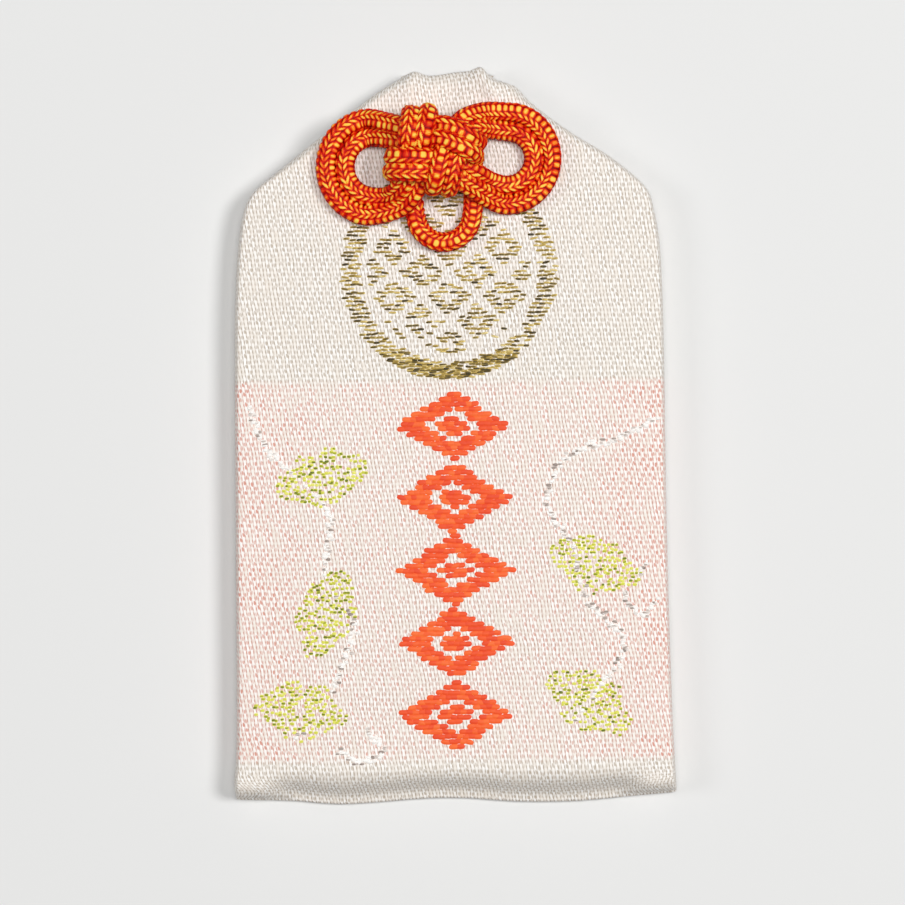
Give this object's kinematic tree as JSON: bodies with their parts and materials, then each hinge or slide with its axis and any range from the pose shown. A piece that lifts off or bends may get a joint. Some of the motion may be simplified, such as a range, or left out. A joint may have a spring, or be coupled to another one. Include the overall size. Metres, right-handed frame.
{
  "type": "omamori charm",
  "caption": "Flat brocade amulet pouch with sloped shoulders and a stiff insert, closed by a braided cord tied on its front in a double-eared knot that lifts off the cloth.",
  "frame": {"origin": "middle of the pouch's back, on the surface that it rests on", "axes": "+X to the right seen from the front, +Y up to the mouth, +Z out of the front"},
  "size_m": [0.045, 0.075, 0.0103],
  "materials": {
    "brocade": "satin weave",
    "lining": "plain bonded cloth",
    "seam_thread": "spun thread",
    "insert_board": "matte",
    "washi_paper": "matte",
    "slip_wood": "planed",
    "braided_cord": "braided, slight sheen"
  },
  "bodies": {
    "pouch": {"brocade_front": "brocade", "brocade_back": "brocade", "lining_front": "lining", "lining_back": "lining", "mouth_tuck_left": "brocade", "mouth_tuck_right": "brocade", "side_seam_left": "seam_thread", "side_seam_right": "seam_thread", "insert_board": "insert_board", "paper_sleeve": "washi_paper", "talisman_slip": "slip_wood", "cord_back_run": "braided_cord"},
    "knot": {"cord_knot": "braided_cord"}
  },
  "joints": [
    {"name": "knot_lift", "type": "hinge", "parent": "pouch", "child": "knot", "pos_m": [-0.0016, 0.0342, 0.0043], "axis": [-1, 0, 0], "range_deg": [0, 60]}
  ]
}
